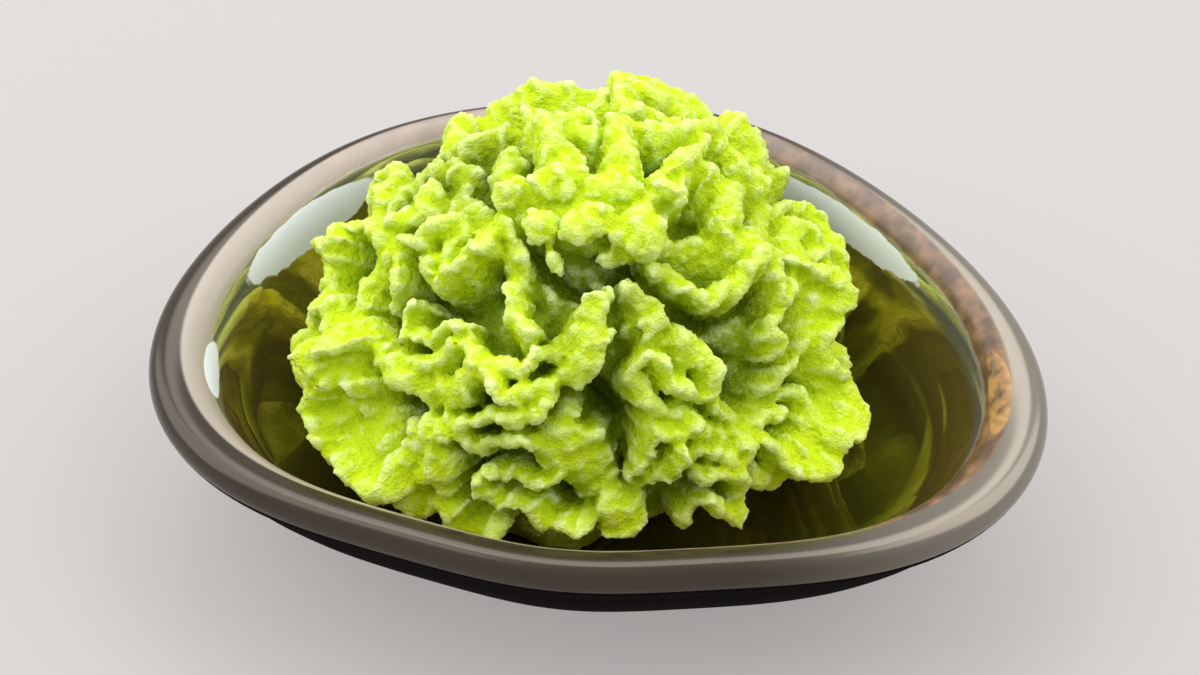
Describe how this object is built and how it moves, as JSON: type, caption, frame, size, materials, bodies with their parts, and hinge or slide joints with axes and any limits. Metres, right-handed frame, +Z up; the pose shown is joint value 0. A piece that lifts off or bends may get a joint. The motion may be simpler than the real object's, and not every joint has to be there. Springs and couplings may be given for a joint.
{
  "type": "dish of wasabi paste",
  "caption": "Small egg-shaped glazed sauce dish with a piped, folded rosette of green wasabi paste resting in it.",
  "frame": {"origin": "under the middle of the dish's outline, on the plane that its foot stands on", "axes": "+Z up, +X along the dish's longer side, -Y the side that the rosette leans to"},
  "size_m": [0.0904, 0.0686, 0.0417],
  "materials": {
    "glaze": "gloss",
    "paste": "satin"
  },
  "bodies": {
    "root": {"dish": "glaze", "paste": "paste"}
  },
  "joints": []
}
